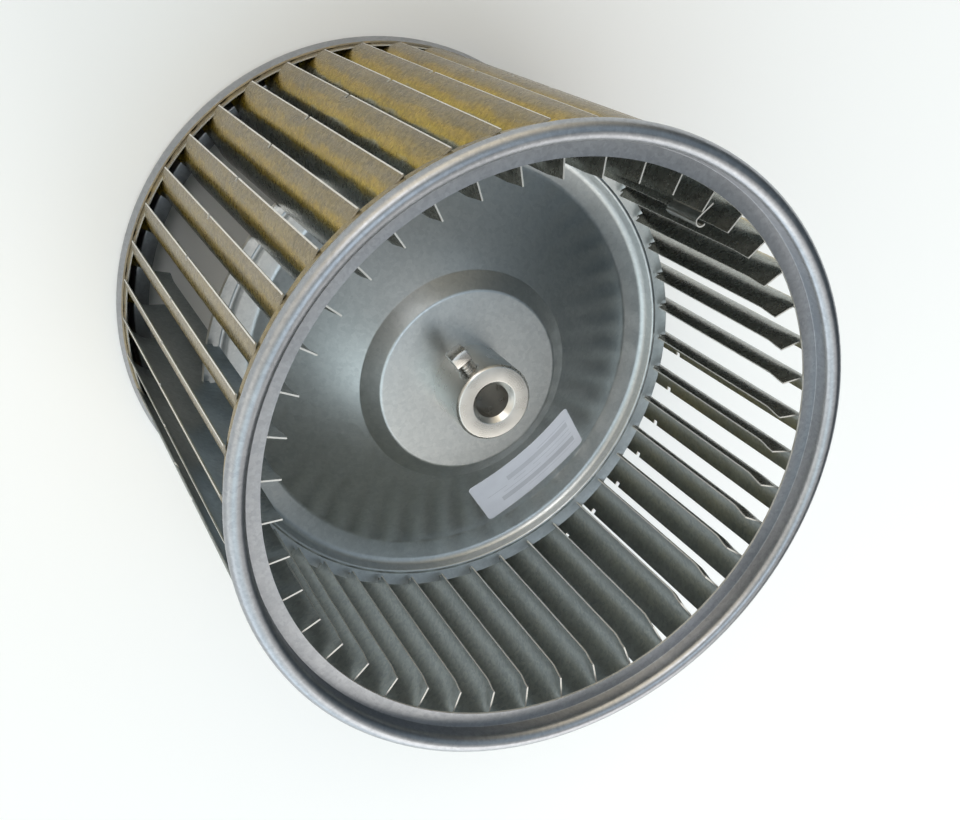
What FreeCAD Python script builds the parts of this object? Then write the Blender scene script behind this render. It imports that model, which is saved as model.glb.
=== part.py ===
import FreeCAD, Part
import math
import os
import Sketcher

# Double-inlet blower wheel with forward-curved blades, in millimetres.
# The shaft axis is Z. The wheel stands on its rear end ring, and its front end,
# with the hub's face, the set screw and the label, is up.

doc = FreeCAD.newDocument("BlowerWheel")
sheet = doc.addObject("Spreadsheet::Sheet", "Dims")

SIZES = [
    # Whole wheel
    ("wheel_radius", 109.5),
    ("wheel_width", 183.3),
    # End ring, measured inwards from its crest and its largest radius
    ("ring_sheet", 0.8),
    ("ring_reach", 12.0),
    ("flange_width", 5.1),
    ("flange_depth", 7.1),
    ("bead_outer_bend", 3.5),
    ("bead_inner_bend", 2.0),
    ("ring_lip_depth", 7.1),
    ("ring_lip_tuck", 1.3),
    # Blade strip
    ("blade_count", 43),
    ("blade_sheet", 0.55),
    ("blade_outer_inset", 1.4),
    ("blade_depth", 17.55),
    ("blade_sweep", 6.95),
    ("blade_bend", 14.5),
    ("blade_end_depth", 9.5),
    ("blade_turn", 0.6),
    ("band_sheet", 0.6),
    ("band_start_depth", 2.6),
    ("band_end_depth", 12.4),
    ("band_grip_gap", 0.05),
    ("outer_notch_depth", 2.0),
    ("outer_notch_top", 4.75),
    ("outer_notch_length", 3.3),
    # Centre disc
    ("disc_sheet", 1.2),
    ("disc_flat_radius", 34.6),
    ("disc_bevel_run", 6.2),
    ("disc_wall_run", 12.2),
    ("disc_lip_width", 4.7),
    ("disc_lip_drop", 1.35),
    ("disc_crease_drop", 4.4),
    ("disc_bevel_rise", 12.5),
    ("disc_flat_rise", 17.3),
    ("lap_depth", 2.0),
    ("lap_cover", 2.25),
    ("lap_length", 6.0),
    ("lap_gap", 0.05),
    # Hub
    ("hub_radius", 14.2875),
    ("hub_rise", 21.4),
    ("hub_edge_chamfer", 0.8),
    ("bore_radius", 6.35),
    ("bore_front_chamfer", 1.8),
    ("bore_rear_chamfer", 0.6),
    ("spigot_radius", 11.5),
    ("spigot_gap", 0.02),
    ("swage_radius", 13.2),
    ("swage_length", 2.2),
    # Set screw
    ("screw_turn", 133.8),
    ("screw_depth", 5.0),
    ("screw_radius", 3.175),
    ("screw_gap", 0.05),
    ("screw_tip_radius", 6.6),
    ("screw_tip_chamfer", 0.7),
    ("screw_head_top", 23.9),
    ("screw_head_length", 4.8),
    ("screw_head_flats", 6.35),
    ("screw_head_disc", 2.9),
    ("screw_head_bevel", 1.0),
    # Label
    ("label_long", 50.8),
    ("label_short", 30.0),
    ("label_corner", 2.0),
    ("label_sheet", 0.15),
    ("label_turn", 46.0),
    ("label_inset", 18.8),
    # Balance clip
    ("clip_blade", 8),
    ("clip_sheet", 0.5),
    ("clip_length", 15.5),
    ("clip_gap", 0.06),
    ("clip_leg", 4.1),
    ("clip_leg_spread", 1.4),
    ("clip_loop_depth", 2.7),
    ("clip_loop_shift", 1.55),
    ("clip_loop_radius", 2.0),
    ("clip_tongue_length", 5.0),
    ("clip_tongue_height", 1.2),
]

for row, (alias, number) in enumerate(SIZES, start=1):
    sheet.set("A%d" % row, alias)
    sheet.set("B%d" % row, str(number))
    sheet.setAlias("B%d" % row, alias)
doc.recompute()


def size(expression):
    """The number that an expression in the sheet's sizes gives now."""
    return float(sheet.evalExpression(expression))


def bind(target, path, expression):
    """Tie one property of an object to the sheet."""
    target.setExpression(path, expression)


def new_body(name):
    body = doc.addObject("PartDesign::Body", name)
    body.Label = name
    return body


def new_sketch(body, name, role):
    """A sketch on one of the body's own origin planes."""
    sketch = body.newObject("Sketcher::SketchObject", name)
    planes = [feature for feature in body.Origin.OriginFeatures if feature.Role == role]
    sketch.AttachmentSupport = [(planes[0], "")]
    sketch.MapMode = "FlatFace"
    return sketch


def constrain(sketch, expression, kind, *where):
    """A dimension of the sketch, tied to the sheet."""
    index = sketch.addConstraint(Sketcher.Constraint(kind, *where, size(expression)))
    bind(sketch, "Constraints[%d]" % index, expression)


def pin_point(sketch, element, end, across, up):
    """Hold one end of an element at a place given by two expressions."""
    constrain(sketch, across, "DistanceX", -1, 1, element, end)
    constrain(sketch, up, "DistanceY", -1, 1, element, end)


def arc_between(start, end, radius):
    """The short arc from start to end. A positive radius turns left, a negative one right."""
    middle = (start + end) * 0.5
    chord = end - start
    across = FreeCAD.Vector(-chord.y, chord.x, 0).normalize()
    rise = math.sqrt(max(radius * radius - chord.Length ** 2 / 4, 0))
    centre = middle + across * math.copysign(rise, radius)
    first = start if radius > 0 else end
    last = end if radius > 0 else start
    angles = [math.atan2(point.y - centre.y, point.x - centre.x) for point in (first, last)]
    circle = Part.Circle(centre, FreeCAD.Vector(0, 0, 1), abs(radius))
    return Part.ArcOfCircle(circle, angles[0], angles[1])


def outline(sketch, corners):
    """Closed outline. A corner is two expressions, and a third is the radius of the arc after it.

    The radius expression starts with a minus sign where the arc turns right.
    """
    first = sketch.GeometryCount
    count = len(corners)
    places = [FreeCAD.Vector(size(corner[0]), size(corner[1]), 0) for corner in corners]
    starts = []
    for index, corner in enumerate(corners):
        following = places[(index + 1) % count]
        if len(corner) == 2:
            sketch.addGeometry(Part.LineSegment(places[index], following), False)
            starts.append(1)
        else:
            radius = size(corner[2])
            sketch.addGeometry(arc_between(places[index], following, radius), False)
            starts.append(1 if radius > 0 else 2)
    for index in range(count):
        following = (index + 1) % count
        sketch.addConstraint(Sketcher.Constraint(
            "Coincident", first + index, 3 - starts[index], first + following, starts[following]))
    for index, corner in enumerate(corners):
        pin_point(sketch, first + index, starts[index], corner[0], corner[1])
        if len(corner) == 3:
            constrain(sketch, corner[2].lstrip("-"), "Radius", first + index)


def turned(body, name, corners, kind="PartDesign::Revolution", axis="V_Axis"):
    """A full turn of an outline in the XZ plane about the body's Z axis, or X with H_Axis."""
    sketch = new_sketch(body, name + "Sketch", "XZ_Plane")
    outline(sketch, corners)
    feature = body.newObject(kind, name)
    feature.Profile = sketch
    feature.ReferenceAxis = (sketch, [axis])
    feature.Angle = 360
    return feature


def padded(body, name, sketch, length, symmetric=False):
    """A pad of a sketch, tied to a length."""
    feature = body.newObject("PartDesign::Pad", name)
    feature.Profile = sketch
    feature.SideType = "Symmetric" if symmetric else "One side"
    bind(feature, "Length", length)
    return feature


def polar(body, name, feature, sketch):
    """Repeat a feature once per blade about the body's Z axis."""
    pattern = body.newObject("PartDesign::PolarPattern", name)
    pattern.Originals = [feature]
    pattern.Axis = (sketch, ["N_Axis"])
    pattern.Angle = 360
    bind(pattern, "Occurrences", "Dims.blade_count")
    body.Tip = pattern
    return pattern


def place(body, height="0", turn="0"):
    """Lift a body along Z and turn it about Z."""
    bind(body, "Placement.Base.z", height)
    bind(body, "Placement.Rotation.Angle", turn)


# End rings: one pressed profile, rolled over the strip's margin at each end.
# The profile is drawn from the wheel's middle plane, so the rear ring is the same ring turned over.
RING = {
    "crest": "Dims.wheel_width / 2",
    "flange_edge": "Dims.wheel_radius - Dims.ring_reach",
    "flange_end": "Dims.wheel_radius - Dims.ring_reach + Dims.flange_width",
    "flange_face": "Dims.wheel_width / 2 - Dims.flange_depth",
    "wall": "Dims.wheel_radius - Dims.bead_outer_bend - Dims.bead_inner_bend",
    "wall_top": "Dims.wheel_width / 2 - Dims.bead_inner_bend",
    "crest_line": "Dims.wheel_radius - Dims.bead_outer_bend",
    "shoulder": "Dims.wheel_width / 2 - Dims.bead_outer_bend",
    "lip": "Dims.wheel_radius - Dims.ring_lip_tuck",
    "lip_edge": "Dims.wheel_width / 2 - Dims.ring_lip_depth",
}


def end_ring(name):
    body = new_body(name)
    turned(body, name + "_profile", [
        (RING["flange_edge"], RING["flange_face"]),
        (RING["flange_end"], RING["flange_face"]),
        (RING["wall"], RING["wall_top"], "-Dims.bead_inner_bend"),
        (RING["crest_line"], RING["crest"], "-Dims.bead_outer_bend"),
        ("Dims.wheel_radius", RING["shoulder"]),
        (RING["lip"], RING["lip_edge"]),
        (RING["lip"] + " - Dims.ring_sheet", RING["lip_edge"]),
        ("Dims.wheel_radius - Dims.ring_sheet", RING["shoulder"], "Dims.bead_outer_bend - Dims.ring_sheet"),
        (RING["crest_line"], RING["crest"] + " - Dims.ring_sheet", "Dims.bead_inner_bend - Dims.ring_sheet"),
        (RING["wall"] + " + Dims.ring_sheet", RING["wall_top"]),
        (RING["flange_end"] + " + Dims.ring_sheet", RING["flange_face"] + " - Dims.ring_sheet"),
        (RING["flange_edge"], RING["flange_face"] + " - Dims.ring_sheet"),
    ])
    return body


front_ring = end_ring("front_ring")
place(front_ring, "Dims.wheel_width / 2")

rear_ring = end_ring("rear_ring")
rear_ring.Placement.Rotation = FreeCAD.Rotation(FreeCAD.Vector(1, 0, 0), 180)
bind(rear_ring, "Placement.Base.z", "Dims.wheel_width / 2")


# Blade strip: one lanced strip, its curved blades joined by a plain margin band at each end.
BLADE_OUTER = "(Dims.wheel_radius - Dims.blade_outer_inset)"
BLADE_INNER = "(Dims.wheel_radius - Dims.blade_outer_inset - Dims.blade_depth)"
BLADE_TIP_X = BLADE_OUTER + " * cos(Dims.blade_sweep)"
BLADE_TIP_Y = "-" + BLADE_OUTER + " * sin(Dims.blade_sweep)"


def blade_section(sketch, thickness, start=None):
    """The blade's arc, thickened both ways from its middle line, with square edges.

    With a start radius, the section begins that far from the shaft axis, as a slit does.
    """
    inner = FreeCAD.Vector(size(BLADE_INNER), 0, 0)
    outer = FreeCAD.Vector(size(BLADE_TIP_X), size(BLADE_TIP_Y), 0)
    bend = size("Dims.blade_bend")
    middle = sketch.addGeometry(arc_between(inner, outer, -bend), True)
    pin_point(sketch, middle, 2, BLADE_INNER, "0")
    pin_point(sketch, middle, 1, BLADE_TIP_X, BLADE_TIP_Y)
    constrain(sketch, "Dims.blade_bend", "Radius", middle)
    centre = sketch.Geometry[middle].Center
    half = size(thickness) / 2
    sides = []
    if start:
        step = math.acos(1 - (size(start) - inner.Length) ** 2 / (2 * bend * bend))
        inner = centre + FreeCAD.Rotation(FreeCAD.Vector(0, 0, 1), -math.degrees(step)) * (inner - centre)
    for offset in (half, -half):
        ends = [centre + (point - centre).normalize() * (bend + offset) for point in (inner, outer)]
        sides.append(sketch.addGeometry(arc_between(ends[0], ends[1], -(bend + offset)), False))
        sketch.addConstraint(Sketcher.Constraint("Coincident", sides[-1], 3, middle, 3))
    constrain(sketch, "Dims.blade_bend + (%s) / 2" % thickness, "Radius", sides[0])
    constrain(sketch, "Dims.blade_bend - (%s) / 2" % thickness, "Radius", sides[1])
    for end in (1, 2):
        points = [sketch.getPoint(side, end) for side in sides]
        cap = sketch.addGeometry(Part.LineSegment(points[0], points[1]), False)
        sketch.addConstraint(Sketcher.Constraint("Coincident", cap, 1, sides[0], end))
        sketch.addConstraint(Sketcher.Constraint("Coincident", cap, 2, sides[1], end))
        if start and end == 2:
            constrain(sketch, start, "Distance", -1, 1, sides[0], end)
            constrain(sketch, start, "Distance", -1, 1, sides[1], end)
            continue
        sketch.addConstraint(Sketcher.Constraint("PointOnObject", middle, end, cap))
        sketch.addConstraint(Sketcher.Constraint("PointOnObject", middle, 3, cap))


blade_strip = new_body("blade_strip")
blade_sketch = new_sketch(blade_strip, "BladeSection", "XY_Plane")
blade_section(blade_sketch, "Dims.blade_sheet")
blade = padded(blade_strip, "Blade", blade_sketch, "Dims.wheel_width - 2 * Dims.blade_end_depth", True)

BAND_OUT = "Dims.wheel_radius - Dims.ring_lip_tuck - Dims.ring_sheet - Dims.band_grip_gap"
BAND_IN = BAND_OUT + " - Dims.band_sheet"
BAND_START = "Dims.wheel_width / 2 - Dims.band_start_depth"
BAND_END = "Dims.wheel_width / 2 - Dims.band_end_depth"


def rectangle(left, right, low, high):
    return [(left, low), (right, low), (right, high), (left, high)]


turned(blade_strip, "FrontBand", rectangle(BAND_IN, BAND_OUT, BAND_END, BAND_START))
turned(blade_strip, "RearBand", rectangle(
    BAND_IN, BAND_OUT, "-(%s)" % BAND_START, "-(%s)" % BAND_END))
polar(blade_strip, "Blades", blade, blade_sketch)

# Notches: the lap with the centre disc at the inner edge, and a tooling nick at the outer edge.
LIP_MIDDLE = "-(Dims.disc_lip_drop + Dims.disc_sheet / 2)"
LAP_RADIUS = BLADE_INNER + " + Dims.lap_depth"
turned(blade_strip, "LapNotches", rectangle(
    BLADE_INNER + " - Dims.lap_depth", LAP_RADIUS,
    LIP_MIDDLE + " - Dims.lap_length / 2", LIP_MIDDLE + " + Dims.lap_length / 2"), "PartDesign::Groove")
turned(blade_strip, "OuterNotches", rectangle(
    BLADE_OUTER + " - Dims.outer_notch_depth", "Dims.wheel_radius",
    "-Dims.outer_notch_top - Dims.outer_notch_length", "-Dims.outer_notch_top"), "PartDesign::Groove")
place(blade_strip, "Dims.wheel_width / 2", "Dims.blade_turn")


# Centre disc: dished sheet with a raised flat for the hub and a slit lip that laps the blades.
# Its body is drawn from the front face of the lip.
LIP_EDGE = "(%s + Dims.lap_cover)" % LAP_RADIUS
LIP_START = "(%s - Dims.disc_lip_width)" % LIP_EDGE
CREASE = "(%s - Dims.disc_wall_run)" % LIP_START
BEVEL = "(Dims.disc_flat_radius + Dims.disc_bevel_run)"
DISC_TOP = [
    ("Dims.spigot_radius + Dims.spigot_gap", "Dims.disc_flat_rise"),
    ("Dims.disc_flat_radius", "Dims.disc_flat_rise"),
    (BEVEL, "Dims.disc_bevel_rise"),
    (CREASE, "-Dims.disc_crease_drop"),
    (LIP_START, "0"),
    (LIP_EDGE, "0"),
]
DISC_HEIGHT = "Dims.wheel_width / 2 - Dims.disc_lip_drop"
FLAT_HEIGHT = DISC_HEIGHT + " + Dims.disc_flat_rise"

centre_disc = new_body("centre_disc")
turned(centre_disc, "Dish", DISC_TOP + [
    (across, up + " - Dims.disc_sheet") for across, up in reversed(DISC_TOP)])

slit_sketch = new_sketch(centre_disc, "SlitSection", "XY_Plane")
blade_section(slit_sketch, "Dims.blade_sheet + 2 * Dims.lap_gap", LAP_RADIUS + " - Dims.lap_gap")
slit = centre_disc.newObject("PartDesign::Pocket", "Slit")
slit.Profile = slit_sketch
slit.SideType = "Symmetric"
bind(slit, "Length", "4 * Dims.disc_sheet")
polar(centre_disc, "Slits", slit, slit_sketch)
place(centre_disc, DISC_HEIGHT, "Dims.blade_turn")


# Hub: turned steel, its spigot through the disc and swaged over behind it.
# It is drawn from the disc's flat, with the set screw's hole along +X.
SWAGE_FACE = "-Dims.disc_sheet - Dims.swage_length"
SCREW_RISE = "Dims.hub_rise - Dims.screw_depth"

hub = new_body("hub")
turned(hub, "HubProfile", [
    ("Dims.bore_radius + Dims.bore_front_chamfer", "Dims.hub_rise"),
    ("Dims.hub_radius - Dims.hub_edge_chamfer", "Dims.hub_rise"),
    ("Dims.hub_radius", "Dims.hub_rise - Dims.hub_edge_chamfer"),
    ("Dims.hub_radius", "0"),
    ("Dims.spigot_radius", "0"),
    ("Dims.spigot_radius", "-Dims.disc_sheet"),
    ("Dims.swage_radius", "-Dims.disc_sheet"),
    ("Dims.swage_radius", SWAGE_FACE),
    ("Dims.bore_radius + Dims.bore_rear_chamfer", SWAGE_FACE),
    ("Dims.bore_radius", SWAGE_FACE + " + Dims.bore_rear_chamfer"),
    ("Dims.bore_radius", "Dims.hub_rise - Dims.bore_front_chamfer"),
])
hole_sketch = new_sketch(hub, "ScrewHoleSketch", "YZ_Plane")
hole_circle = hole_sketch.addGeometry(Part.Circle(
    FreeCAD.Vector(0, size(SCREW_RISE), 0), FreeCAD.Vector(0, 0, 1), size("Dims.screw_radius")), False)
pin_point(hole_sketch, hole_circle, 3, "0", SCREW_RISE)
constrain(hole_sketch, "Dims.screw_radius + Dims.screw_gap", "Radius", hole_circle)
screw_hole = hub.newObject("PartDesign::Pocket", "ScrewHole")
screw_hole.Profile = hole_sketch
screw_hole.Reversed = True
bind(screw_hole, "Length", "2 * Dims.hub_radius")
place(hub, FLAT_HEIGHT, "Dims.screw_turn")


# Set screw: square head, plain shank at the thread's outer size, drawn along +X from the shaft axis.
HEAD_FACE = "Dims.screw_head_top - Dims.screw_head_length"

set_screw = new_body("set_screw")
turned(set_screw, "Shank", [
    ("Dims.screw_tip_radius", "0"),
    ("Dims.screw_head_top - Dims.screw_head_length / 2", "0"),
    ("Dims.screw_head_top - Dims.screw_head_length / 2", "Dims.screw_radius"),
    ("Dims.screw_tip_radius + Dims.screw_tip_chamfer", "Dims.screw_radius"),
    ("Dims.screw_tip_radius", "Dims.screw_radius - Dims.screw_tip_chamfer"),
], axis="H_Axis")
head_sketch = new_sketch(set_screw, "HeadSketch", "YZ_Plane")
bind(head_sketch, "AttachmentOffset.Base.z", HEAD_FACE)
HALF_FLATS = "Dims.screw_head_flats / 2"
outline(head_sketch, rectangle("-" + HALF_FLATS, HALF_FLATS, "-" + HALF_FLATS, HALF_FLATS))
padded(set_screw, "Head", head_sketch, "Dims.screw_head_length")
turned(set_screw, "HeadBevel", [
    ("Dims.screw_head_top", "Dims.screw_head_disc"),
    ("Dims.screw_head_top", "Dims.screw_head_flats"),
    ("Dims.screw_head_top - Dims.screw_head_bevel", "Dims.screw_head_flats"),
], "PartDesign::Groove", "H_Axis")
place(set_screw, FLAT_HEIGHT + " + " + SCREW_RISE, "Dims.screw_turn")


# Balance clip: folded spring strip on one blade's inner edge near the front.
# One leg lies on the blade's hollow side, a loop hangs inwards, and a tongue holds the other side.
def clip_point(out, side):
    """A point of the clip, from the blade's inner edge outwards and towards its round side."""
    return (BLADE_INNER + " + " + out, side)


HALF_BLADE = "Dims.blade_sheet / 2"
LEG_SIDE = "-(%s) - Dims.clip_gap" % HALF_BLADE
TONGUE_SIDE = "%s + 2 * Dims.clip_gap" % HALF_BLADE
LEG_TIP = "%s - Dims.clip_leg_spread" % LEG_SIDE
LOOP_OUTSIDE = "Dims.clip_loop_radius"
LOOP_INSIDE = "(Dims.clip_loop_radius - Dims.clip_sheet)"
LOOP_NEAR = "Dims.clip_loop_radius - Dims.clip_loop_shift"
LOOP_FAR = "-Dims.clip_loop_radius - Dims.clip_loop_shift"

balance_clip = new_body("balance_clip")
clip_sketch = new_sketch(balance_clip, "ClipSketch", "XY_Plane")
outline(clip_sketch, [
    clip_point("Dims.clip_leg", LEG_TIP),
    clip_point("0", LEG_SIDE),
    clip_point("-Dims.clip_loop_depth", LOOP_NEAR) + (LOOP_OUTSIDE,),
    clip_point("-Dims.clip_loop_depth - " + LOOP_OUTSIDE, "-Dims.clip_loop_shift") + (LOOP_OUTSIDE,),
    clip_point("-Dims.clip_loop_depth", LOOP_FAR),
    clip_point("-Dims.clip_loop_depth", LOOP_FAR + " + Dims.clip_sheet") + ("-" + LOOP_INSIDE,),
    clip_point("-Dims.clip_loop_depth - " + LOOP_INSIDE, "-Dims.clip_loop_shift") + ("-" + LOOP_INSIDE,),
    clip_point("-Dims.clip_loop_depth", LOOP_NEAR + " - Dims.clip_sheet"),
    clip_point("0", LEG_SIDE + " - Dims.clip_sheet"),
    clip_point("Dims.clip_leg", LEG_TIP + " - Dims.clip_sheet"),
])
padded(balance_clip, "Fold", clip_sketch, "Dims.clip_length")
tongue_sketch = new_sketch(balance_clip, "TongueSketch", "XY_Plane")
bind(tongue_sketch, "AttachmentOffset.Base.z", "(Dims.clip_length - Dims.clip_tongue_length) / 2")
outline(tongue_sketch, [
    clip_point("Dims.clip_tongue_height", TONGUE_SIDE),
    clip_point("Dims.clip_tongue_height", TONGUE_SIDE + " + Dims.clip_sheet"),
    clip_point("-2 * Dims.clip_sheet", TONGUE_SIDE + " + Dims.clip_sheet"),
    clip_point("-2 * Dims.clip_sheet", LEG_SIDE),
    clip_point("-Dims.clip_sheet", LEG_SIDE),
    clip_point("-Dims.clip_sheet", TONGUE_SIDE),
])
padded(balance_clip, "Tongue", tongue_sketch, "Dims.clip_tongue_length")
place(balance_clip, "Dims.wheel_width - Dims.blade_end_depth - Dims.clip_length",
      "Dims.blade_turn + Dims.clip_blade * 360 / Dims.blade_count")


# Label: thin foil, cut as a rounded rectangle square to the dish and laid on its slope.
SLOPE_RUN = "(%s - %s)" % (CREASE, BEVEL)
SLOPE_FALL = "(Dims.disc_bevel_rise + Dims.disc_crease_drop)"
SLOPE = "atan(%s / %s)" % (SLOPE_FALL, SLOPE_RUN)
LABEL_RISE = "Dims.label_inset * %s / %s - Dims.disc_crease_drop" % (SLOPE_FALL, SLOPE_RUN)


def dish_cone(name, lift):
    """The cone of the dish's front slope, lifted by a height."""
    cone = doc.addObject("Part::Cone", name)
    bind(cone, "Radius1", CREASE)
    bind(cone, "Radius2", BEVEL)
    bind(cone, "Height", SLOPE_FALL)
    bind(cone, "Placement.Base.z", "-Dims.disc_crease_drop + " + lift)
    return cone


label_shell = doc.addObject("Part::Cut", "LabelShell")
label_shell.Base = dish_cone("LabelFront", "Dims.label_sheet / cos(%s)" % SLOPE)
label_shell.Tool = dish_cone("LabelBack", "0")

label_shape = new_body("LabelShape")
label_sketch = new_sketch(label_shape, "LabelSketch", "XY_Plane")
outline(label_sketch, rectangle(
    "-Dims.label_short / 2", "Dims.label_short / 2", "-Dims.label_long / 2", "Dims.label_long / 2"))
label_pad = padded(label_shape, "LabelPad", label_sketch, "Dims.label_short", True)
doc.recompute()
label_corners = label_shape.newObject("PartDesign::Fillet", "LabelCorners")
label_corners.Base = (label_pad, [
    "Edge%d" % number for number, edge in enumerate(label_pad.Shape.Edges, start=1)
    if abs(edge.tangentAt(edge.FirstParameter).z) > 0.5])
bind(label_corners, "Radius", "Dims.label_corner")
label_shape.Placement.Rotation = FreeCAD.Rotation(FreeCAD.Vector(0, 1, 0), 1)
bind(label_shape, "Placement.Rotation.Angle", SLOPE)
bind(label_shape, "Placement.Base.x", CREASE + " - Dims.label_inset")
bind(label_shape, "Placement.Base.z", LABEL_RISE)

label = doc.addObject("Part::Common", "label")
label.Base = label_shell
label.Tool = label_shape
place(label, DISC_HEIGHT, "-Dims.label_turn")


bodies = [front_ring, rear_ring, blade_strip, centre_disc, hub, set_screw, balance_clip, label]

doc.recompute()

failed = []
for item in doc.Objects:
    if "Invalid" in item.State or "Error" in item.State:
        failed.append(item.Name)
for body in bodies:
    if body.Shape.isNull() or not body.Shape.isValid():
        failed.append(body.Label)
if failed:
    raise RuntimeError("these did not build: " + ", ".join(failed))

os.makedirs("parts", exist_ok=True)
for body in bodies:
    body.Shape.exportStep("parts/%s.step" % body.Label)
    print(body.Label, "%.1f mm3" % body.Shape.Volume, len(body.Shape.Solids), body.Shape.BoundBox)
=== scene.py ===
import math

import bmesh
import bpy
from mathutils import Matrix, Vector


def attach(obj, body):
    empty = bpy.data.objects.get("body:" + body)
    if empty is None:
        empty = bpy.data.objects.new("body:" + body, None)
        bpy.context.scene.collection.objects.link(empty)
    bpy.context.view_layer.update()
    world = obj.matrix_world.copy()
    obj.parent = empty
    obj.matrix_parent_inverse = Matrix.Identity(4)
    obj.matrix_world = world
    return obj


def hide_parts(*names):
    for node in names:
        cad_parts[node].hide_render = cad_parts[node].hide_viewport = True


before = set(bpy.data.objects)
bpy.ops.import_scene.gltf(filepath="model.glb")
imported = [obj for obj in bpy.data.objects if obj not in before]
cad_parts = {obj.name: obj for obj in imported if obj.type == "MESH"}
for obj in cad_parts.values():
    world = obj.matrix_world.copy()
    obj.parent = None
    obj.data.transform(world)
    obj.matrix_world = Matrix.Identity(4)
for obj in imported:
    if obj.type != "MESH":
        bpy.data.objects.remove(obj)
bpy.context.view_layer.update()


# Centre disc. One dished sheet of galvanised steel that carries all the blades.
# Its flat holds the hub. Its lip is slit once per blade, slid over the blades
# and staked down beside each slit, which leaves a small raised tab there.

def node(material, kind, inputs=(), **settings):
    """A shader node with its settings made and its inputs filled or linked."""
    tree = material.node_tree
    made = tree.nodes.new("ShaderNode" + kind)
    for name, value in settings.items():
        setattr(made, name, value)
    for name, value in dict(inputs).items():
        if isinstance(value, bpy.types.NodeSocket):
            tree.links.new(value, made.inputs[name])
        else:
            made.inputs[name].default_value = value
    return made


def shader_of(material):
    """The material's main shader, which Blender makes with it."""
    return material.node_tree.nodes["Principled BSDF"]


def new_material(name):
    """A fresh material that is made of nodes."""
    material = bpy.data.materials.new(name)
    material.use_nodes = True
    return material


def shades(material, factor, stops):
    """A colour ramp's colour output, from a list of (place, colour) stops."""
    ramp = node(material, "ValToRGB", {"Fac": factor})
    while len(ramp.color_ramp.elements) < len(stops):
        ramp.color_ramp.elements.new(1.0)
    for element, (place, colour) in zip(ramp.color_ramp.elements, stops):
        element.position = place
        element.color = (*colour, 1.0)
    return ramp.outputs["Color"]


def span(material, value, low, high, start, end):
    """A value carried from low..high over to start..end."""
    return node(material, "MapRange", {
        "Value": value, "From Min": low, "From Max": high, "To Min": start, "To Max": end,
    }).outputs["Result"]


def math_of(material, operation, first, second):
    """Two values joined by one step of arithmetic."""
    return node(material, "Math", {0: first, 1: second}, operation=operation).outputs[0]


def galvanised(name, pale, dark, roughness, spangle=0.0021, relief=0.10, metallic=1.0):
    """Zinc-coated sheet: small spangle crystals, cloudy tone and fine rolling grain."""
    material = new_material(name)
    shader = shader_of(material)
    place = node(material, "TexCoord").outputs["Object"]
    warp = node(material, "TexNoise", {"Vector": place, "Scale": 220.0, "Detail": 2.0})
    bent = node(material, "MixRGB", {
        "Fac": 0.0022, "Color1": place, "Color2": warp.outputs["Color"]}, blend_type="ADD")
    crystals = node(material, "TexVoronoi", {
        "Vector": bent.outputs["Color"], "Scale": 1 / spangle, "Randomness": 1.0})
    crystal = node(material, "SeparateColor", {"Color": crystals.outputs["Color"]})
    cloud = node(material, "TexNoise", {
        "Vector": place, "Scale": 38.0, "Detail": 4.0, "Roughness": 0.55}).outputs["Fac"]
    grain = node(material, "TexNoise", {
        "Vector": place, "Scale": 1500.0, "Detail": 3.0, "Roughness": 0.6}).outputs["Fac"]
    fleck = span(material, crystal.outputs["Red"], 0.0, 1.0, 0.2, 0.8)
    tone = math_of(material, "ADD", math_of(material, "ADD", fleck, cloud), grain)
    tone = span(material, tone, 0.75, 2.25, 0.0, 1.0)
    colour = shades(material, tone, [(0.0, dark), (1.0, pale)])
    rough = span(material, crystal.outputs["Green"],
                 0.0, 1.0, roughness - 0.03, roughness + 0.03)
    bump = node(material, "Bump", {"Height": grain, "Strength": relief, "Distance": 0.00003})
    material.node_tree.links.new(colour, shader.inputs["Base Color"])
    material.node_tree.links.new(rough, shader.inputs["Roughness"])
    material.node_tree.links.new(bump.outputs["Normal"], shader.inputs["Normal"])
    shader.inputs["Metallic"].default_value = metallic
    return material


def everything(bm):
    return bm.verts[:] + bm.edges[:] + bm.faces[:]


def bent_line(bm, corners, segments=4):
    """A line through (radius, height, bend radius) corners in the XZ plane, with round bends."""
    places = [Vector((corner[0], 0, corner[1])) for corner in corners]
    verts = [bm.verts.new(place) for place in places]
    for first, last in zip(verts, verts[1:]):
        bm.edges.new((first, last))
    for index in range(1, len(corners) - 1):
        bend = corners[index][2] if len(corners[index]) > 2 else 0
        if bend:
            before, after = places[index - 1] - places[index], places[index + 1] - places[index]
            bmesh.ops.bevel(bm, geom=[verts[index]],
                            offset=bend / math.tan(before.angle(after) / 2),
                            offset_type="OFFSET", segments=segments, profile=0.5,
                            affect="VERTICES", material=-1)


def turned(bm, turn, axis="Z"):
    """Turn the whole mesh about one axis."""
    bmesh.ops.rotate(bm, cent=(0, 0, 0), matrix=Matrix.Rotation(turn, 3, axis), verts=bm.verts)


def turn_of(place):
    """The angle of a place round the shaft axis."""
    return math.atan2(place.y, place.x)


def repeated(bm, count):
    """Copy the mesh round the shaft axis, count times in all, and join what meets."""
    bmesh.ops.spin(bm, geom=everything(bm), cent=(0, 0, 0), axis=(0, 0, 1),
                   angle=2 * math.pi * (count - 1) / count, steps=count - 1,
                   use_duplicate=True)
    bmesh.ops.remove_doubles(bm, verts=bm.verts, dist=1e-6)


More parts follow.
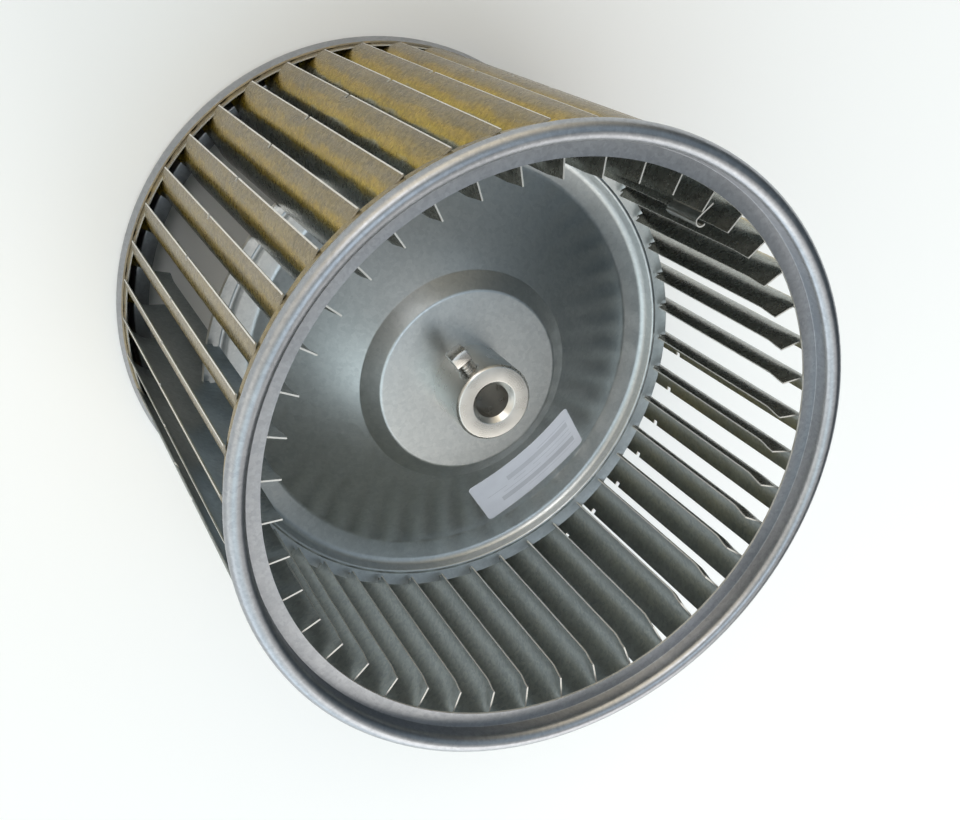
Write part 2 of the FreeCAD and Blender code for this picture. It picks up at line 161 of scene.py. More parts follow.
def with_modifier(bm, kind, **settings):
    """The mesh after one of Blender's modifiers, which it gets on a blank object."""
    mesh = bpy.data.meshes.new("blank")
    bm.to_mesh(mesh)
    # Three empty places, so that a sheet's back and rim can point at a later material.
    for empty in range(3):
        mesh.materials.append(None)
    blank = bpy.data.objects.new("blank", mesh)
    bpy.context.scene.collection.objects.link(blank)
    modifier = blank.modifiers.new(kind, kind)
    for name, value in settings.items():
        setattr(modifier, name, value)
    seen = blank.evaluated_get(bpy.context.evaluated_depsgraph_get())
    bm.clear()
    bm.from_mesh(seen.to_mesh())
    bpy.data.objects.remove(blank)
    bpy.data.meshes.remove(mesh)


def thickened(bm, sheet, back=0, rim=0):
    """Give a sheet its thickness. Back and rim count on from the face's own material."""
    with_modifier(bm, "SOLIDIFY", thickness=sheet, offset=0.0, use_even_offset=True,
                  material_offset=back, material_offset_rim=rim)


def piece(bm, name, body, materials):
    """The finished mesh as a piece that rides on its body and stands for its plain solid."""
    mesh = bpy.data.meshes.new(name)
    bm.to_mesh(mesh)
    bm.free()
    mesh.shade_smooth()
    mesh.set_sharp_from_angle(angle=math.radians(35))
    for material in materials:
        mesh.materials.append(material)
    made = bpy.data.objects.new(name + "_piece", mesh)
    bpy.context.scene.collection.objects.link(made)
    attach(made, body)
    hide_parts(name)


# Sizes are in metres, with the shaft along Z and the rear ring's crest at zero.
wheel_width = 0.1833
middle = wheel_width / 2
blade_count = 43
pitch = 2 * math.pi / blade_count
blade_turn = math.radians(0.6)
disc_sheet = 0.0012
disc_front = middle - 0.00135
# Heights on the disc are taken from the middle of its sheet at the lip.
lip_height = disc_front - disc_sheet / 2
hub_hole = 0.01152
flat_radius = 0.0346
flat_rise = 0.0173
slope_start = 0.0408
slope_rise = 0.0125
crease_radius = 0.0779
crease_fall = 0.0044
slope_run = crease_radius - slope_start
slope_fall = slope_rise + crease_fall
slope_middle = 0.0600
wall_foot = 0.0873
wall_top = 0.0894
lip_start = 0.0903
slit_start = 0.0925
lip_edge = 0.0948
slit_turn = math.radians(0.40)
slit_place = blade_turn + math.radians(0.07)
tab_lift = 0.0005
tab_crest = math.radians(0.1)
tab_end = math.radians(0.5)
tab_shoulder = 0.25
disc_steel = galvanised("disc_galvanised", (0.57, 0.585, 0.58), (0.42, 0.44, 0.445),
                        0.34, spangle=0.0014)
cut_steel = galvanised("cut_edge_steel", (0.74, 0.72, 0.67), (0.64, 0.62, 0.58),
                       0.40, relief=0.05, metallic=0.7)

# One pitch of the disc: its profile, spun round from one slit to the next.
disc = bmesh.new()
bent_line(disc, [
    (hub_hole, lip_height + flat_rise),
    (flat_radius, lip_height + flat_rise, 0.0016),
    (slope_start, lip_height + slope_rise, 0.0025),
    (slope_middle, lip_height + slope_rise - slope_fall * (slope_middle - slope_start) / slope_run),
    (crease_radius, lip_height - crease_fall, 0.004),
    (wall_foot, lip_height - 0.0037, 0.004),
    (wall_top, lip_height + 0.0003, 0.0005),
    (lip_start, lip_height, 0.0003),
    (slit_start, lip_height + 0.0006),
    (0.0937, lip_height + 0.0010),
    (lip_edge, lip_height + 0.0014),
])
profile_turn = slit_place + slit_turn / 2
turned(disc, profile_turn)
profile = disc.verts[:] + disc.edges[:]
steps = [math.radians(step) for step in (0.45, 0.65, 1.4, 1.8, 1.8)]
steps += [pitch - slit_turn - sum(steps), slit_turn]
for step in steps:
    profile = bmesh.ops.spin(disc, geom=profile, cent=(0, 0, 0), axis=(0, 0, 1),
                             angle=step, steps=1)["geom_last"]
slit = [face for face in disc.faces
        if face.calc_center_median().xy.length > slit_start
        and turn_of(face.calc_center_median()) > profile_turn + pitch - slit_turn]
bmesh.ops.delete(disc, geom=slit, context="FACES")
for vert in disc.verts:
    beyond = turn_of(vert.co) - profile_turn
    out = (vert.co.xy.length - slit_start) / (lip_edge - slit_start)
    if out > 0 and beyond < tab_end:
        vert.co.z += tab_lift * out * (1.0 if beyond < tab_crest else tab_shoulder)
repeated(disc, blade_count)
bmesh.ops.recalc_face_normals(disc, faces=disc.faces)
thickened(disc, disc_sheet, rim=1)
piece(disc, "centre_disc", "wheel", [disc_steel, cut_steel])


# Hub. Turned bar steel with a light zinc finish, bored for a half-inch shaft.
# Its spigot goes through the disc and is swaged over behind it. The set screw's
# hole is drilled and tapped through its side, which leaves a burr round the hole.

def turned_steel(name, pale, dark, roughness):
    """Zinc-plated turned steel: faint tool rings round the shaft axis and a cloudy tone."""
    material = new_material(name)
    shader = shader_of(material)
    place = node(material, "TexCoord").outputs["Object"]
    cuts = node(material, "TexWave", {
        "Vector": place, "Scale": 420.0, "Distortion": 1.2, "Detail": 2.0, "Detail Scale": 3.0},
        wave_type="RINGS", rings_direction="Z").outputs["Fac"]
    cloud = node(material, "TexNoise", {
        "Vector": place, "Scale": 160.0, "Detail": 4.0}).outputs["Fac"]
    grain = node(material, "TexNoise", {
        "Vector": place, "Scale": 2200.0, "Detail": 2.0}).outputs["Fac"]
    colour = shades(material, cloud, [(0.3, dark), (0.7, pale)])
    rough = span(material, cloud, 0.3, 0.7, roughness - 0.04, roughness + 0.04)
    bump = node(material, "Bump", {
        "Height": math_of(material, "ADD", cuts, grain), "Strength": 0.12, "Distance": 0.00004})
    material.node_tree.links.new(colour, shader.inputs["Base Color"])
    material.node_tree.links.new(rough, shader.inputs["Roughness"])
    material.node_tree.links.new(bump.outputs["Normal"], shader.inputs["Normal"])
    shader.inputs["Metallic"].default_value = 1.0
    return material


def lathe(bm, steps):
    """Spin everything in the mesh once round the shaft axis."""
    bmesh.ops.spin(bm, geom=everything(bm), cent=(0, 0, 0), axis=(0, 0, 1),
                   angle=2 * math.pi, steps=steps, use_merge=True)
    bmesh.ops.remove_doubles(bm, verts=bm.verts, dist=1e-6)
    bmesh.ops.recalc_face_normals(bm, faces=bm.faces)


def shaped_by(bm, tool, operation):
    """Cut one mesh by another, or keep what they share. The tool mesh is used up."""
    mesh = bpy.data.meshes.new("tool")
    tool.to_mesh(mesh)
    tool.free()
    cutter = bpy.data.objects.new("tool", mesh)
    bpy.context.scene.collection.objects.link(cutter)
    with_modifier(bm, "BOOLEAN", operation=operation, object=cutter, solver="EXACT")
    bpy.data.objects.remove(cutter)
    bpy.data.meshes.remove(mesh)


def added_to(bm, other):
    """Put another mesh into this one. The other mesh is used up."""
    mesh = bpy.data.meshes.new("other")
    other.to_mesh(mesh)
    other.free()
    bm.from_mesh(mesh)
    bpy.data.meshes.remove(mesh)


hub_radius = 0.0142875
hub_flat = disc_front + flat_rise
hub_face = hub_flat + 0.0214
hub_back = hub_flat - disc_sheet - 0.0022
bore_radius = 0.00635
bore_chamfer = 0.0018
back_chamfer = 0.0006
face_chamfer = 0.0008
spigot_radius = 0.0115
swage_radius = 0.0132
screw_turn = math.radians(133.8)
screw_height = hub_face - 0.005
screw_radius = 0.003175
hole_radius = screw_radius + 0.00005
hub_steel = turned_steel("hub_turned_steel", (0.72, 0.70, 0.66), (0.62, 0.605, 0.57), 0.29)


def along_screw(bm):
    """Lay what was drawn up the Z axis along the set screw's line."""
    turned(bm, math.radians(90), "Y")
    turned(bm, screw_turn)
    bmesh.ops.translate(bm, vec=(0, 0, screw_height), verts=bm.verts)


hub = bmesh.new()
hub_profile = [
    (bore_radius, hub_face - bore_chamfer, 0.0),
    (bore_radius + bore_chamfer, hub_face, 0.0003),
    (hub_radius - face_chamfer, hub_face, 0.0004),
    (hub_radius, hub_face - face_chamfer, 0.0004),
    (hub_radius, hub_flat, 0.0),
    (spigot_radius, hub_flat, 0.0),
    (spigot_radius, hub_flat - disc_sheet, 0.0),
    (swage_radius, hub_flat - disc_sheet, 0.0004),
    (swage_radius, hub_back, 0.0009),
    (bore_radius + back_chamfer, hub_back, 0.0003),
    (bore_radius, hub_back + back_chamfer, 0.0),
]
bent_line(hub, hub_profile + hub_profile[:1], 3)
bmesh.ops.remove_doubles(hub, verts=hub.verts, dist=1e-6)
lathe(hub, 96)
hole = bmesh.new()
bmesh.ops.create_cone(hole, cap_ends=True, segments=32, radius1=hole_radius,
                      radius2=hole_radius, depth=0.02, matrix=Matrix.Translation((0, 0, 0.01)))
along_screw(hole)
shaped_by(hub, hole, "DIFFERENCE")

# The burr is turned flat, then let down on to the hub's round side.
burr = bmesh.new()
bent_line(burr, [
    (screw_radius + 0.0001, -0.0003),
    (screw_radius + 0.0001, 0.00025, 0.0001),
    (screw_radius + 0.00045, 0.00022, 0.0002),
    (screw_radius + 0.0011, -0.0002),
], 3)
lathe(burr, 48)
for vert in burr.verts:
    vert.co.z += math.sqrt(hub_radius ** 2 - vert.co.y ** 2)
along_screw(burr)
added_to(hub, burr)
piece(hub, "hub", "wheel", [hub_steel])


# Set screw. A square-head screw in plated steel, 1/4 inch and 20 threads to the inch.
# It goes through the hub's side and pinches the shaft. Its head's end is turned to a cone.
thread_pitch = 0.00127
thread_root = 0.00245
thread_start = 0.0066
thread_steps = 24
head_start = 0.0191
head_top = 0.0239
head_flats = 0.00635
head_end_radius = 0.0029
head_cone = 0.001
shank_in_head = 0.0005
screw_steel = turned_steel("screw_plated_steel", (0.62, 0.59, 0.55), (0.50, 0.48, 0.45), 0.26)

# One pitch of the thread is drawn below the screw's tip and wound up past its head.
screw = bmesh.new()
bent_line(screw, [
    (thread_root, thread_start - thread_pitch),
    (thread_root, thread_start - 0.85 * thread_pitch),
    (screw_radius, thread_start - 0.5 * thread_pitch),
    (screw_radius, thread_start - 0.38 * thread_pitch),
    (thread_root, thread_start),
])
turns = math.ceil((head_start - thread_start) / thread_pitch) + 1
bmesh.ops.spin(screw, geom=everything(screw), cent=(0, 0, 0), axis=(0, 0, 1),
               angle=2 * math.pi * turns, steps=thread_steps * turns,
               dvec=(0, 0, thread_pitch / thread_steps))
bmesh.ops.remove_doubles(screw, verts=screw.verts, dist=1e-6)
for height, keep in ((thread_start, 1), (head_start + shank_in_head, -1)):
    bmesh.ops.bisect_plane(screw, geom=everything(screw), plane_co=(0, 0, height),
                           plane_no=(0, 0, keep), clear_inner=True)
    bmesh.ops.remove_doubles(screw, verts=screw.verts, dist=1e-6)
    rim = [edge for edge in screw.edges
           if all(abs(vert.co.z - height) < 1e-6 for vert in edge.verts)]
    bmesh.ops.contextual_create(screw, geom=rim)
bmesh.ops.recalc_face_normals(screw, faces=screw.faces)

head = bmesh.new()
bmesh.ops.create_cube(head, size=head_flats)
bmesh.ops.scale(head, vec=(1, 1, (head_top - head_start) / head_flats), verts=head.verts)
bmesh.ops.translate(head, vec=(0, 0, (head_top + head_start) / 2), verts=head.verts)
cone = bmesh.new()
bent_line(cone, [
    (0, head_start - 0.001),
    (head_flats, head_start - 0.001),
    (head_flats, head_top - head_cone),
    (head_end_radius, head_top),
    (0, head_top),
])
lathe(cone, 48)
shaped_by(head, cone, "INTERSECT")
with_modifier(head, "BEVEL", width=0.00018, segments=2, limit_method="ANGLE",
              angle_limit=math.radians(30))
added_to(screw, head)
along_screw(screw)
piece(screw, "set_screw", "screw", [screw_steel])


# Blade strip. One long strip of galvanised sheet, lanced into 43 curved blades
# that stay joined by a margin at each end, then rolled into a drum. The blades
# stand nearly edge on, so the margin between their necks is drawn up into pleats.
blade_sheet = 0.00055
blade_inner = 0.09055
blade_outer = 0.1081
blade_bend = 0.0145
blade_sweep = math.radians(6.95)
end_depth = 0.0095
end_height = wheel_width - end_depth
corner_depth = 0.0113
flare_length = 0.009
flare_turn = math.radians(-0.79)
burr_height = 0.00025
strip_steel = galvanised("blade_galvanised", (0.38, 0.42, 0.43), (0.20, 0.235, 0.25),
                         0.38, spangle=0.0013, relief=0.04, metallic=0.85)
# The outer face's zinc, which is later multiplied by painted reflection bands.
reflection_painted_steel = galvanised("blade_painted_reflection", (0.56, 0.53, 0.47), (0.22, 0.21, 0.185),
                          0.28, spangle=0.0013, metallic=0.88)

# Painted reflection: the blades' outer face is coloured by radius in grey, teal, olive and golden
# bands. The bands stand in for what the face reflects, and their edges are streaky along the shaft.
painted_reflection_start = 0.0905
painted_reflection_end = 0.1085
streak_width = 0.0011
place = node(reflection_painted_steel, "TexCoord").outputs["Object"]
level = node(reflection_painted_steel, "VectorMath", {0: place, 1: (1, 1, 0)}, operation="MULTIPLY")
reach = node(reflection_painted_steel, "VectorMath", {0: level.outputs["Vector"]}, operation="LENGTH")
drawn = node(reflection_painted_steel, "VectorMath", {0: place, 1: (1, 1, 0.25)}, operation="MULTIPLY")
streak = node(reflection_painted_steel, "TexNoise", {
    "Vector": drawn.outputs["Vector"], "Scale": 260.0, "Detail": 3.0}).outputs["Fac"]
streak = span(reflection_painted_steel, streak, 0.25, 0.75, -streak_width, streak_width)
reach = math_of(reflection_painted_steel, "ADD", reach.outputs["Value"], streak)
# These colour bands across the blade's width are painted reflection, not a coating.
painted_reflection = shades(reflection_painted_steel, span(reflection_painted_steel, reach, painted_reflection_start, painted_reflection_end, 0.0, 1.0), [
    (0.30, (0.72, 0.74, 0.73)),
    (0.58, (0.72, 0.80, 0.82)),
    (0.69, (0.66, 0.66, 0.50)),
    (0.75, (1.0, 0.74, 0.10)),
    (0.83, (0.92, 0.67, 0.16)),
    (0.91, (0.66, 0.54, 0.29)),
    (1.0, (0.60, 0.52, 0.38)),
])
zinc = shader_of(reflection_painted_steel).inputs["Base Color"].links[0].from_socket
zinc_with_painted_reflection = node(reflection_painted_steel, "MixRGB", {"Fac": 1.0, "Color1": zinc, "Color2": painted_reflection},
              blend_type="MULTIPLY")
reflection_painted_steel.node_tree.links.new(
    zinc_with_painted_reflection.outputs["Color"], shader_of(reflection_painted_steel).inputs["Base Color"])


def verts_of(parts):
    return [part for part in parts if isinstance(part, bmesh.types.BMVert)]


def drawn_on(bm, edges, offset):
    """Draw a row of edges on into new faces, and give the new row."""
    made = bmesh.ops.extrude_edge_only(bm, edges=edges)["geom"]
    bmesh.ops.translate(bm, vec=offset, verts=verts_of(made))
    return [part for part in made if isinstance(part, bmesh.types.BMEdge)
            and all(vert in made for vert in part.verts)]


def put(vert, radius, turn):
    """Put a vertex at a radius and an angle round the shaft axis, at its own height."""
    vert.co.x = radius * math.cos(turn)
    vert.co.y = radius * math.sin(turn)


def flared(height):
    """How far the flare has come at a height: zero where it starts, one at the blade's end."""
    share = min(max((height - end_height + flare_length) / flare_length, 0), 1)
    return share * share * (3 - 2 * share)


# One blade, drawn as an arc from its inner edge and then drawn on along the shaft.
inner_edge = Vector((blade_inner, 0, 0))
outer_edge = Vector((blade_outer * math.cos(blade_sweep), -blade_outer * math.sin(blade_sweep), 0))
chord = outer_edge - inner_edge
to_centre = math.sqrt(blade_bend ** 2 - chord.length_squared / 4)
bend_centre = (inner_edge + outer_edge) / 2
bend_centre += Vector((chord.y, -chord.x, 0)).normalized() * to_centre
bend_turn = (inner_edge - bend_centre).angle(outer_edge - bend_centre)
shares = [0.0, 0.042, 0.0842, 0.165, 0.25, 0.34, 0.4336, 0.52, 0.61, 0.70, 0.7687, 0.8117,
          0.87, 0.935, 1.0]
lap_above = 0.00105
lap_below = 0.0049
nick_start = 0.0058
nick_end = 0.0081
rows = [0.0, lap_above, lap_below, nick_start, nick_end, 0.020, 0.036, 0.052, 0.064, 0.071,
        0.0745, 0.077, 0.0790, middle - corner_depth, middle - end_depth]
strip = bmesh.new()
edge = [strip.verts.new((*inner_edge.xy, middle))]
for start, end in zip(shares, shares[1:]):
    made = bmesh.ops.spin(strip, geom=edge, cent=bend_centre, axis=(0, 0, 1),
                          angle=-bend_turn * (end - start), steps=1)
    edge = verts_of(made["geom_last"])
burr = bmesh.ops.extrude_vert_indiv(strip, verts=edge)["verts"]
bmesh.ops.translate(strip, verts=burr, vec=outer_edge.normalized() * burr_height)
row = strip.edges[:]
for start, end in zip(rows, rows[1:]):
    row = drawn_on(strip, row, (0, 0, end - start))

# The necks: the end's outer half goes on along the shaft and twists flat into the margin.
neck_inner = 0.1005
neck_middle = 0.1036
neck_outer = 0.1066
neck_turn = math.radians(-2.9)
neck_step = 0.0011
neck_inset = 0.0004
twists = [0.12, 0.5, 0.85, 1.0]
band_radius = 0.10705
outer_corner = [face for face in strip.faces
                if face.calc_center_median().z > wheel_width - corner_depth
                and face.calc_center_median().xy.length > neck_outer]
bmesh.ops.delete(strip, geom=outer_corner, context="FACES")
row = [edge for edge in row if edge.is_valid and all(
    neck_inner - 1e-5 < vert.co.xy.length < neck_outer + 1e-5 for vert in edge.verts)]
for twist in twists:
    row = drawn_on(strip, row, (0, 0, neck_step))
for vert in strip.verts:
    beyond = vert.co.z - end_height
    if beyond > 1e-5:
        twist = twists[min(round(beyond / neck_step), len(twists)) - 1]
        radius, turn = vert.co.xy.length, turn_of(vert.co)
        flat_turn = neck_turn - (radius - neck_middle) / band_radius
        put(vert, radius + (band_radius - neck_inset - radius) * twist,
            turn + (flat_turn - turn) * twist)

# The inner part of each end is flared to lie along a radius.
for vert in strip.verts:
    flare, turn = flared(vert.co.z), turn_of(vert.co)
    if flare > 0 and turn > flare_turn and vert.co.z < end_height + 1e-5:
        put(vert, vert.co.xy.length, turn + (flare_turn - turn) * flare)

# The margin of one blade's pitch, with one pleat drawn in beside the blade's outer edge.
band_end = 0.0120
pleat_foot = 0.0088
pleat_full = 0.0070
pleat_start = -7.1
pleat_end = -9.5
pleat_depth = 0.0012
margin_start = -6.6
margin_turns = [margin_start, pleat_start, -7.5, -7.9, -8.3, -8.7, -9.1, pleat_end,
                -10.0, -11.2, -12.4, -13.7, margin_start - math.degrees(pitch)]
margin_depths = [band_end, 0.0105, pleat_foot, pleat_full, 0.0048, 0.0026]
edge = [strip.verts.new((band_radius, 0, wheel_width - band_end))]
put(edge[0], band_radius, math.radians(margin_start))
margin = []
for start, end in zip(margin_turns, margin_turns[1:]):
    made = bmesh.ops.spin(strip, geom=edge, cent=(0, 0, 0), axis=(0, 0, 1),
                          angle=math.radians(end - start), steps=1)
    edge = verts_of(made["geom_last"])
    margin += edge[0].link_edges[:]
for start, end in zip(margin_depths, margin_depths[1:]):
    margin = drawn_on(strip, margin, (0, 0, start - end))
for vert in strip.verts:
    turn, depth = math.degrees(turn_of(vert.co)), wheel_width - vert.co.z
    in_margin = abs(vert.co.xy.length - band_radius) < 1e-6 and depth < band_end + 1e-5
    if in_margin and pleat_end < turn < pleat_start:
        wave = math.sin(math.pi * (turn - pleat_start) / (pleat_start - pleat_end)) ** 2
        share = min(max(1 - (depth - pleat_full) / (pleat_foot - pleat_full), 0), 1)
        vert.co.xy *= (band_radius - pleat_depth * wave * share) / band_radius

bmesh.ops.mirror(strip, geom=everything(strip), matrix=Matrix.Translation((0, 0, -middle)),
                 axis="Z", merge_dist=1e-6)

# Notches: the lap over the centre disc's lip, and a tooling nick in the outer edge.
lap_radius = 0.09255
nick_radius = 0.1077
notched = []
for face in strip.faces:
    centre = face.calc_center_median()
    radius, rise = centre.xy.length, centre.z - middle
    in_lap = radius < lap_radius and -lap_below < rise < lap_above
    in_nick = radius > nick_radius and -nick_end < rise < -nick_start
    if in_lap or in_nick:
        notched.append(face)
bmesh.ops.delete(strip, geom=notched, context="FACES")

turned(strip, blade_turn)
repeated(strip, blade_count)
bmesh.ops.recalc_face_normals(strip, faces=strip.faces)

# Each blade, and each margin, is turned over as a whole to have the painted reflection bands on its
# outer side.
waiting = set(strip.faces)
while waiting:
    sheet = [waiting.pop()]
    for face in sheet:
        for other in [other for edge in face.edges for other in edge.link_faces]:
            if other in waiting:
                waiting.remove(other)
                sheet.append(other)
    outward = 0
    for face in sheet:
        centre = face.calc_center_median()
        outward += face.normal.dot(centre + Vector((0, 0, 1)).cross(centre)) * face.calc_area()
    if outward < 0:
        bmesh.ops.reverse_faces(strip, faces=sheet)
thickened(strip, blade_sheet, back=1, rim=2)
piece(strip, "blade_strip", "wheel", [reflection_painted_steel, strip_steel, cut_steel])


# End rings. Each is pressed from galvanised sheet and rolled over the strip's
# margin: a round bead at the crest, a flat flange inside and a lip tucked in outside.
wheel_radius = 0.1095
ring_sheet = 0.0008
ring_half = ring_sheet / 2
ring_outer = wheel_radius - ring_half
ring_crest = middle - ring_half
flange_height = middle - 0.0071 - ring_half
flange_edge = wheel_radius - 0.0120
flange_foot = wheel_radius - 0.0067 + ring_half
bead_inner = wheel_radius - 0.0064 + ring_half
ring_steel = galvanised("ring_galvanised", (0.43, 0.44, 0.46), (0.28, 0.29, 0.31),
                        0.33, spangle=0.0012, relief=0.05)
for name, end in (("front_ring", 1), ("rear_ring", -1)):
    ring = bmesh.new()
    bent_line(ring, [
        (flange_edge, flange_height),
        (flange_foot, flange_height, 0.0005),
        (bead_inner, ring_crest, 0.0026),
        (ring_outer, ring_crest, 0.0029),
        (ring_outer, middle - 0.0035, 0.0),
        (ring_outer - 0.0013, middle - 0.0071),
    ], 5)
    lathe(ring, 172)
    bmesh.ops.scale(ring, vec=(1, 1, end), verts=ring.verts)
    bmesh.ops.translate(ring, vec=(0, 0, middle), verts=ring.verts)
    bmesh.ops.recalc_face_normals(ring, faces=ring.faces)
    thickened(ring, ring_sheet, rim=1)
    piece(ring, name, "wheel", [ring_steel, cut_steel])


# Label. A self-adhesive silver foil label, cut with round corners and stuck on the
# dish's slope. Its face has plain grey fields and thin rules.
label_height = 0.030
label_width = 0.0508
label_corner = 0.0021
label_sheet = 0.00015
label_turn = math.radians(-46)
label_middle = crease_radius - 0.0188
slope = math.atan2(slope_fall, slope_run)

label_foil = new_material("label_foil")
label_place = node(label_foil, "UVMap").outputs["UV"]
label_axes = node(label_foil, "SeparateXYZ", {"Vector": label_place})


def band(axis, low, high):
    """One where a place on the label lies between two limits, and zero elsewhere."""
    return node(label_foil, "Math", {
        0: label_axes.outputs[axis], 1: (low + high) / 2000, 2: (high - low) / 2000,
    }, operation="COMPARE").outputs[0]


# Fields and rules as left, right, low and high edge in millimetres, and how dark they are.
ink = None
for left, right, low, high, weight in [
    (-22.5, -6.5, 8.6, 9.0, 0.25),
    (-22.5, 10.0, 3.6, 7.2, 0.20),
    (-22.5, -2.0, 1.0, 1.35, 0.25),
    (2.0, 8.0, 1.0, 1.35, 0.25),
    (11.5, 21.0, 1.0, 1.35, 0.25),
    (-22.5, -8.0, -2.2, -1.85, 0.25),
    (-5.0, 14.0, -2.2, -1.85, 0.25),
    (-22.5, 16.0, -8.2, -4.6, 0.26),
    (-22.5, 4.0, -10.2, -9.85, 0.2),
]:
    field = math_of(label_foil, "MULTIPLY", band("X", left, right), band("Y", low, high))
    field = math_of(label_foil, "MULTIPLY", field, weight)
    ink = field if ink is None else math_of(label_foil, "MAXIMUM", ink, field)
label_tone = node(label_foil, "TexNoise", {
    "Vector": label_place, "Scale": 90.0, "Detail": 3.0}).outputs["Fac"]
foil = shades(label_foil, label_tone, [(0.3, (0.72, 0.72, 0.78)), (0.7, (0.78, 0.78, 0.84))])
printed = node(label_foil, "MixRGB", {"Fac": ink, "Color1": foil, "Color2": (0.05, 0.05, 0.06, 1)})
label_grain = node(label_foil, "TexNoise", {"Vector": label_place, "Scale": 1400.0, "Detail": 2.0})
label_bump = node(label_foil, "Bump", {
    "Height": label_grain.outputs["Fac"], "Strength": 0.15, "Distance": 0.00003})
foil_inputs = shader_of(label_foil).inputs
label_foil.node_tree.links.new(printed.outputs["Color"], foil_inputs["Base Color"])
label_foil.node_tree.links.new(label_bump.outputs["Normal"], foil_inputs["Normal"])
foil_inputs["Roughness"].default_value = 0.42


def slope_height(radius):
    """The height of the disc's front face at a radius on its slope."""
    return disc_front - crease_fall + (crease_radius - radius) * slope_fall / slope_run


# Drawn flat, with its long side along X, then bent on to the slope: each place goes
# square to the slope under the label's middle until it meets the cone.
label = bmesh.new()
bmesh.ops.create_grid(label, x_segments=24, y_segments=10, size=0.5, calc_uvs=False)
bmesh.ops.scale(label, vec=(label_width, label_height, 1), verts=label.verts)
corners = [vert for vert in label.verts if len(vert.link_edges) == 2]
bmesh.ops.bevel(label, geom=corners, offset=label_corner, offset_type="OFFSET", segments=6,
                profile=0.5, affect="VERTICES", material=-1)
flat_places = label.loops.layers.uv.new("Label")
for face in label.faces:
    for loop in face.loops:
        loop[flat_places].uv = loop.vert.co.xy
for vert in label.verts:
    across, up = vert.co.x, vert.co.y
    lift = 0
    for settle in range(7):
        inward = Vector((
            label_middle - up * math.cos(slope) + lift * math.sin(slope), -across))
        height = slope_height(inward.length)
        lift = (height - slope_height(label_middle) - up * math.sin(slope)) * math.cos(slope)
    vert.co = (*inward, height + label_sheet / 2)
turned(label, label_turn)
bmesh.ops.recalc_face_normals(label, faces=label.faces)
thickened(label, label_sheet)
piece(label, "label", "wheel", [label_foil])


# Balance clip. A folded strip of spring steel, pushed over one blade's inner edge
# close to the front ring when the wheel was balanced. One leg lies on the blade's
# hollow side, the fold hangs inwards and its free end turns back under it.
clip_sheet = 0.0005
clip_length = 0.0155
clip_turn = blade_turn + 8 * pitch
clip_steps = 6
leg_side = -(blade_sheet / 2 + 0.00006 + clip_sheet / 2)
leg_length = 0.0041
neck_length = 0.0027
loop_side = 0.0002
loop_size = 0.00175
loop_bend = loop_size * 0.98
spring_steel = turned_steel("clip_spring_steel", (0.56, 0.54, 0.50), (0.45, 0.44, 0.41), 0.24)

clip = bmesh.new()
bent_line(clip, [
    (leg_length, leg_side - 0.0014),
    (0.0, leg_side, 0.0004),
    (-neck_length, loop_side, 0.0006),
    (-neck_length - loop_size, loop_side, loop_bend),
    (-neck_length - loop_size, loop_side - 2 * loop_size, loop_bend),
    (-0.0026, loop_side - 2 * loop_size),
], 6)
turned(clip, math.radians(90), "X")
bmesh.ops.scale(clip, vec=(1, -1, 1), verts=clip.verts)
row = clip.edges[:]
for step in range(clip_steps):
    row = drawn_on(clip, row, (0, 0, clip_length / clip_steps))
bmesh.ops.translate(clip, vec=(blade_inner, 0, end_height - clip_length), verts=clip.verts)
for vert in clip.verts:
    put(vert, vert.co.xy.length, turn_of(vert.co) + flare_turn * flared(vert.co.z))
turned(clip, clip_turn)
bmesh.ops.recalc_face_normals(clip, faces=clip.faces)
thickened(clip, clip_sheet, rim=1)
piece(clip, "balance_clip", "wheel", [spring_steel, cut_steel])


# Floor, lights and camera. A pale plain floor, one soft lamp low behind the wheel as the
# camera sees it, and a room of broad soft patches of light, some warm and some cool.

def toward(bearing, rise):
    """The direction at a bearing and a rise, both in degrees."""
    bearing, rise = math.radians(bearing), math.radians(rise)
    return Vector((math.cos(bearing) * math.cos(rise), math.sin(bearing) * math.cos(rise),
                   math.sin(rise)))


floor_paint = new_material("floor_paint")
floor_inputs = shader_of(floor_paint).inputs
floor_inputs["Base Color"].default_value = (0.90, 0.90, 0.90, 1)
floor_inputs["Roughness"].default_value = 0.9
floor_inputs["Specular IOR Level"].default_value = 0.2
ground = bmesh.new()
bmesh.ops.create_circle(ground, cap_ends=True, segments=64, radius=6)
ground_mesh = bpy.data.meshes.new("floor")
ground.to_mesh(ground_mesh)
ground.free()
ground_mesh.materials.append(floor_paint)
floor = bpy.data.objects.new("floor", ground_mesh)
bpy.context.scene.collection.objects.link(floor)

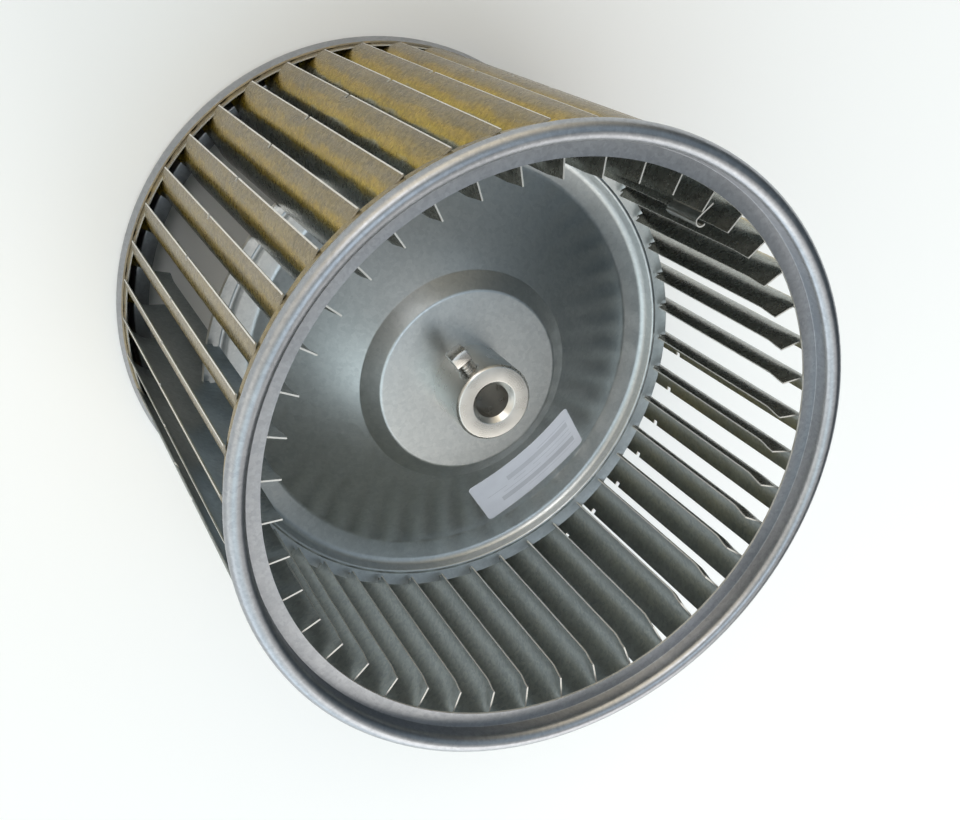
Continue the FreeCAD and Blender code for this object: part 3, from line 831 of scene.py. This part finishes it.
# Each patch has a bearing and a rise in degrees. The higher its power, the smaller it is.
room = bpy.data.worlds.new("room")
room.use_nodes = True
bpy.context.scene.world = room
sight = node(room, "TexCoord").outputs["Generated"]
glow = None
for bearing, rise, power, colour in [
    (105, 13, 6.0, (2.00, 1.74, 1.30)),
    (-105, 5, 6.0, (1.85, 2.10, 2.25)),
    (-160, 12, 4.0, (1.35, 1.34, 1.26)),
    (-64, 44, 11.0, (1.42, 1.35, 1.25)),
    (150, 25, 5.0, (0.66, 0.58, 0.46)),
    (-128, 62, 18.0, (1.35, 1.60, 1.68)),
    (126, 44, 50.0, (3.3, 3.45, 3.7)),
    (10, 86, 50.0, (2.0, 2.3, 2.6)),
    (42, 56, 14.0, (0.42, 0.50, 0.57)),
    (0, 90, 0.0, (0.045, 0.065, 0.08)),
]:
    facing = node(room, "VectorMath", {0: sight, 1: toward(bearing, rise)},
                  operation="DOT_PRODUCT").outputs["Value"]
    facing = math_of(room, "POWER", math_of(room, "MAXIMUM", facing, 0.0), power)
    patch = node(room, "VectorMath", {0: colour, "Scale": facing},
                 operation="SCALE").outputs["Vector"]
    glow = patch if glow is None else node(
        room, "VectorMath", {0: glow, 1: patch}, operation="ADD").outputs["Vector"]
room.node_tree.links.new(glow, room.node_tree.nodes["Background"].inputs["Color"])

lamp = bpy.data.lights.new("key", "AREA")
lamp.energy = 3.6
lamp.size = 0.9
lamp.color = (1.0, 0.98, 0.95)
lamp_place = toward(-60, 24) * 1.2
holder = bpy.data.objects.new("key", lamp)
holder.location = lamp_place + Vector((0, 0, 0.09))
holder.rotation_euler = (-lamp_place).to_track_quat("-Z", "Y").to_euler()
bpy.context.scene.collection.objects.link(holder)

camera = bpy.data.cameras.new("camera")
camera.lens = 46.05
camera.sensor_width = 36.0
camera.sensor_fit = "HORIZONTAL"
viewer = bpy.data.objects.new("camera", camera)
viewer.matrix_world = Matrix((
    (0.8937, 0.0, -0.4486, -0.199795),
    (0.1716, 0.9239, 0.3419, 0.145583),
    (0.4145, -0.3826, 0.8257, 0.487151),
    (0, 0, 0, 1),
))
bpy.context.scene.collection.objects.link(viewer)
bpy.context.scene.camera = viewer
bpy.context.scene.view_settings.view_transform = "Standard"
